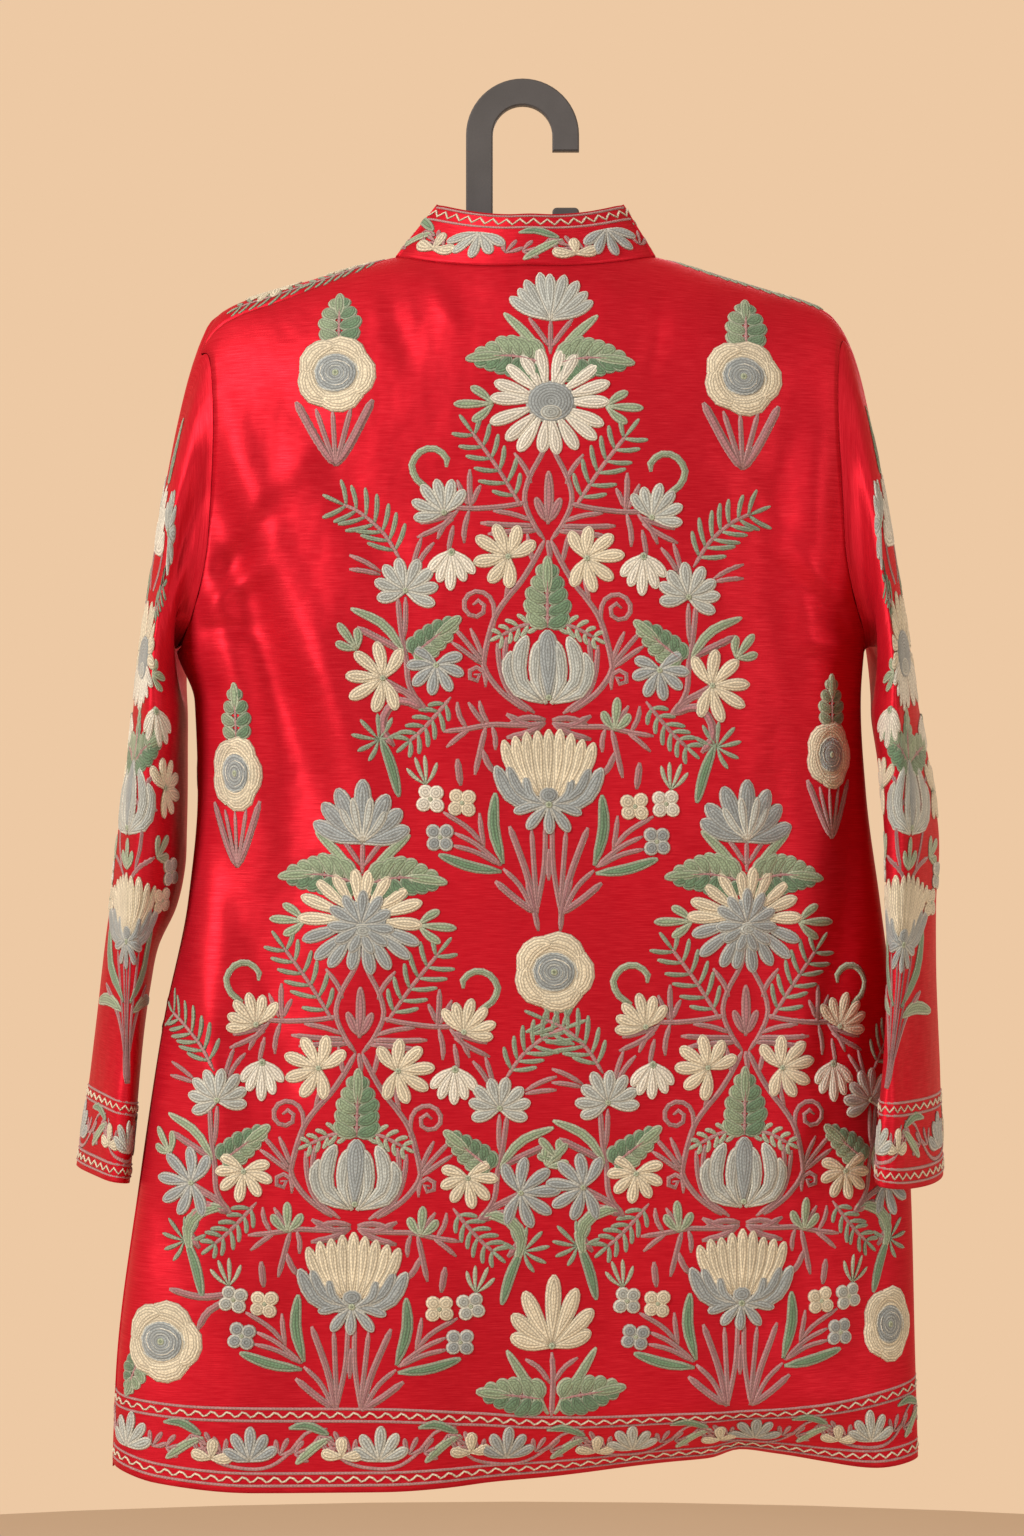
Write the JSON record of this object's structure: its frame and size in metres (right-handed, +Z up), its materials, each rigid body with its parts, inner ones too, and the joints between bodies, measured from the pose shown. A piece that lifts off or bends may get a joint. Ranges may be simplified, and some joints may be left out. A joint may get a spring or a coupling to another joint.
{
  "type": "embroidered jacket on hanger",
  "caption": "Hip-length open-front jacket with a stand collar and long sleeves, embroidered all over with flowering sprays, hanging flat on a broad plastic hanger.",
  "frame": {"origin": "inside top of the hanger's hook, where it rests on a rail", "axes": "+Z up, +X to the wearer's right, +Y to the wearer's front; the back of the jacket faces -Y"},
  "size_m": [0.5782, 0.1687, 0.9102],
  "materials": {
    "silk": "red slubbed silk with a soft sheen",
    "hanger_plastic": "dark grey moulded plastic"
  },
  "bodies": {
    "root": {"back_panel": "silk", "front_panel_left": "silk", "front_panel_right": "silk", "sleeve_left": "silk", "sleeve_right": "silk", "stand_collar": "silk", "hanger_hook": "hanger_plastic", "hanger_arm": "hanger_plastic"}
  },
  "joints": []
}
